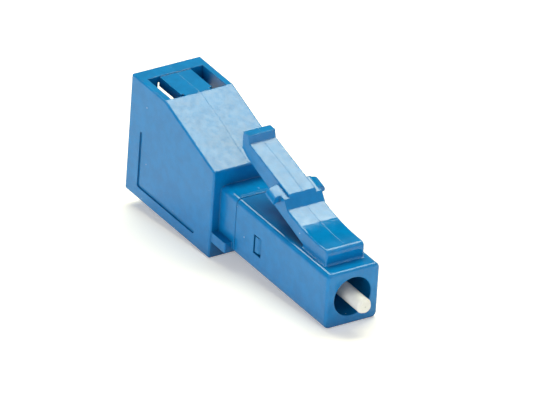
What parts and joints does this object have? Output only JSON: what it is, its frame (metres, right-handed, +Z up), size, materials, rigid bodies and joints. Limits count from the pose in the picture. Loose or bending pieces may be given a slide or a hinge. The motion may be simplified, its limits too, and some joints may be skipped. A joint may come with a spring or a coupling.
{
  "type": "fibre attenuator",
  "caption": "Plug-in fibre attenuator: square plug end with a sprung latch and ceramic ferrule, and a wedge-topped housing with the matching socket behind.",
  "frame": {"origin": "on the optical axis, in the plane of the plug end's front face", "axes": "+X along the optical axis out of the plug end, +Z up towards the latch, +Y left"},
  "size_m": [0.0293, 0.0062, 0.0111],
  "materials": {
    "blue_plastic": "moulded, satin gloss",
    "zirconia": "ground and polished",
    "doped_glass": "polished",
    "plated_metal": "turned and plated",
    "spring_steel": "drawn wire"
  },
  "bodies": {
    "housing": {"plug_housing": "blue_plastic", "adapter_housing": "blue_plastic", "sleeve_holder": "plated_metal", "split_sleeve": "zirconia", "spring_seat": "plated_metal", "coil_spring": "spring_steel"},
    "latch": {"latch_lever": "blue_plastic"},
    "ferrule_assembly": {"ferrule": "zirconia", "attenuating_fibre": "doped_glass", "ferrule_flange": "plated_metal"}
  },
  "joints": [
    {"name": "latch_press", "type": "hinge", "parent": "housing", "child": "latch", "pos_m": [-0.00502, 0, 0.00269], "axis": [0, -1, 0], "range_deg": [0, 13], "stiffness_Nm_per_rad": 0.13},
    {"name": "ferrule_travel", "type": "slide", "parent": "housing", "child": "ferrule_assembly", "axis": [-1, 0, 0], "range_m": [0, 0.0008], "stiffness_N_per_m": 2200, "deforming": ["coil_spring"]}
  ]
}
